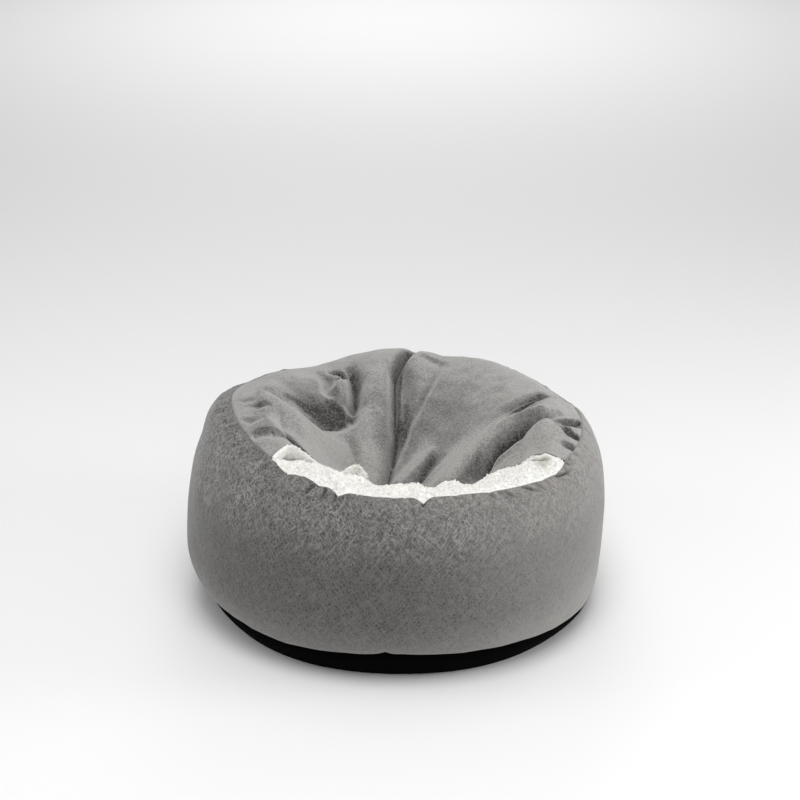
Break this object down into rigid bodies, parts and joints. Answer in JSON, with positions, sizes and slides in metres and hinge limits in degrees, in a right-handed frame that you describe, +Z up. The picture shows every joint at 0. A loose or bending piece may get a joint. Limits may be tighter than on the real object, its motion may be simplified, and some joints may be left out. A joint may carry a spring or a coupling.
{
  "type": "hooded pet bed",
  "caption": "Round filled pet bed with a high soft wall and a plush hood sewn round its back and sides, open at the front so a cat or small dog can crawl in and lie under it",
  "frame": {"origin": "on the floor under the middle of the bed", "axes": "+Z up, +X to the right and -Y to the front, where the open lip is"},
  "size_m": [0.596, 0.594, 0.3114],
  "materials": {
    "base_fabric": "matte woven",
    "microsuede": "matte brushed with a fine pale crackle",
    "plush": "short brushed pile",
    "fleece": "soft deep pile"
  },
  "bodies": {
    "root": {"base_panel": "base_fabric", "wall_bolster": "microsuede", "nest_cushion": "fleece", "lining_band": "fleece", "hood_cover": "plush", "hood_fleece": "fleece"}
  },
  "joints": []
}
